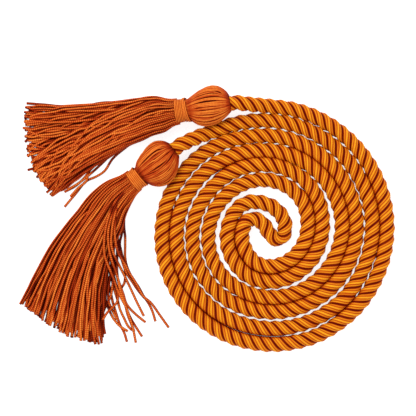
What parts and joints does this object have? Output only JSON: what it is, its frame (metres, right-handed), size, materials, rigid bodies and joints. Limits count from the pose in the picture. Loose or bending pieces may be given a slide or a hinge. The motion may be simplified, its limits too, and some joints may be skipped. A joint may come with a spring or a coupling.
{
  "type": "honor cord",
  "caption": "Twisted yarn honor cord laid flat in a double spiral, with a gathered head, a wound binding and a spread fringe on the tassel at each end.",
  "frame": {"origin": "the middle of the cord's length, at the centre of the double spiral, on the surface that the cord lies on", "axes": "+Z up from the surface, +X and +Y in the surface: seen from above with +Y up, the tassels lie to the upper left"},
  "size_m": [0.2094, 0.148, 0.0214],
  "materials": {
    "cord_yarn": "golden orange rayon yarn, three plies twisted right-handed, satin",
    "tassel_yarn": "orange fringe yarn of fine chained loops, soft satin",
    "binding_yarn": "orange fringe yarn wound tight round the neck"
  },
  "bodies": {
    "root": {"cord": "cord_yarn", "tassel_upper": "tassel_yarn", "tassel_upper_binding": "binding_yarn", "tassel_lower": "tassel_yarn", "tassel_lower_binding": "binding_yarn"}
  },
  "joints": []
}
